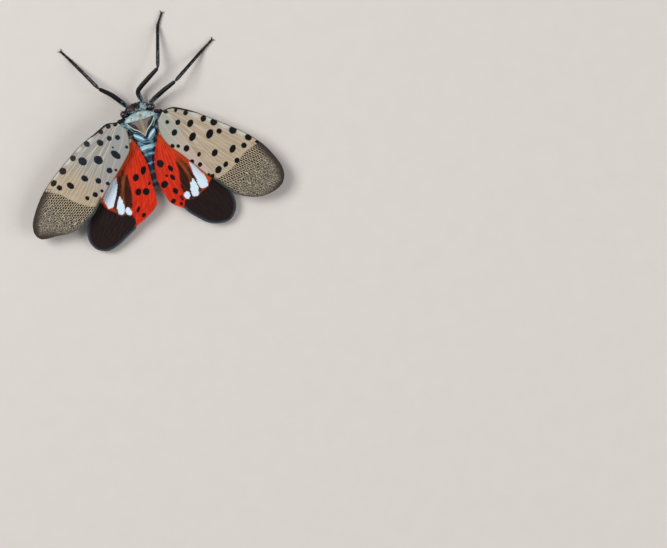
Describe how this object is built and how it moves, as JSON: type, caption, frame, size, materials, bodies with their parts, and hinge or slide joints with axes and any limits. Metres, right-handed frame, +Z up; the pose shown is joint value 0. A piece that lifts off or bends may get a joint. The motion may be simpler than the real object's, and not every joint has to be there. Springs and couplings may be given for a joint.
{
  "type": "spotted lanternfly",
  "caption": "Spotted lanternfly with its wings spread, standing on its feet, its forelegs stretched ahead; a still life-size insect model for display.",
  "frame": {"origin": "middle of the insect's box, on the floor under its feet", "axes": "+Y towards the head, +X towards the insect's right wing, +Z up"},
  "size_m": [0.039, 0.0338, 0.0051],
  "materials": {
    "black_cuticle": "black-brown cuticle, satin",
    "eye": "dark compound eye, glossy",
    "orange_cuticle": "bright orange, grainy",
    "grey_teal_cuticle": "waxy grey-teal, satin",
    "taupe_cuticle": "waxy taupe with a pale rim",
    "pale_blue_cuticle": "pale blue crescents on blue-black",
    "dark_cuticle": "blue-black, satin",
    "banded_cuticle": "blue-black with pale bands and yellow below",
    "forewing_membrane": "tan, black spots, fine dark network at the tip",
    "hindwing_membrane": "red, black spots, white and black patches",
    "leg_cuticle": "black, slightly glossy"
  },
  "bodies": {
    "root": {"head": "black_cuticle", "eye_left": "eye", "eye_right": "eye", "antenna_left": "orange_cuticle", "antenna_right": "orange_cuticle", "rostrum": "black_cuticle", "pronotum": "grey_teal_cuticle", "mesonotum": "taupe_cuticle", "metanotum": "pale_blue_cuticle", "thorax": "dark_cuticle", "abdomen": "banded_cuticle", "forewing_left": "forewing_membrane", "forewing_right": "forewing_membrane", "hindwing_left": "hindwing_membrane", "hindwing_right": "hindwing_membrane", "foreleg_left_femur": "leg_cuticle", "foreleg_left_tibia": "leg_cuticle", "foreleg_right_femur": "leg_cuticle", "foreleg_right_tibia": "leg_cuticle", "midleg_left_femur": "leg_cuticle", "midleg_left_tibia": "leg_cuticle", "midleg_right_femur": "leg_cuticle", "midleg_right_tibia": "leg_cuticle", "hindleg_left_femur": "leg_cuticle", "hindleg_left_tibia": "leg_cuticle", "hindleg_right_femur": "leg_cuticle", "hindleg_right_tibia": "leg_cuticle"}
  },
  "joints": []
}
